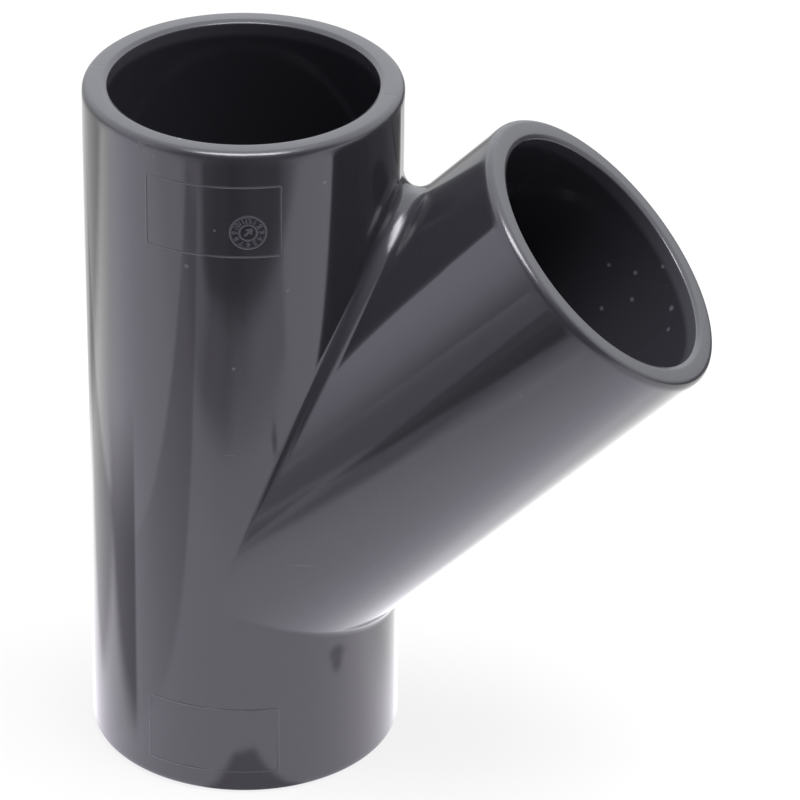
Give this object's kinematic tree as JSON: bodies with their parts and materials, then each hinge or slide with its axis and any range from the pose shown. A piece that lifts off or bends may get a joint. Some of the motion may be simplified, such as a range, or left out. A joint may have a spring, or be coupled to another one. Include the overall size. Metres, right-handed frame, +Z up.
{
  "type": "lateral wye fitting",
  "caption": "Moulded 45 degree lateral wye for solvent-cemented pipe: a straight run and a branch of the same bore, with a plain socket and a pipe stop behind each mouth.",
  "frame": {"origin": "centre of the lower mouth, in the plane of the rim that the fitting stands on", "axes": "+Z up the run, from the lower mouth to the upper one; +X towards the side that the branch leaves, so that the branch axis lies in the XZ plane; +Y completes the right-handed frame"},
  "size_m": [0.1771, 0.089, 0.2055],
  "materials": {
    "moulded_pvc": "moulded rigid PVC, dark grey, glossy"
  },
  "bodies": {
    "root": {"wye_body": "moulded_pvc"}
  },
  "joints": []
}
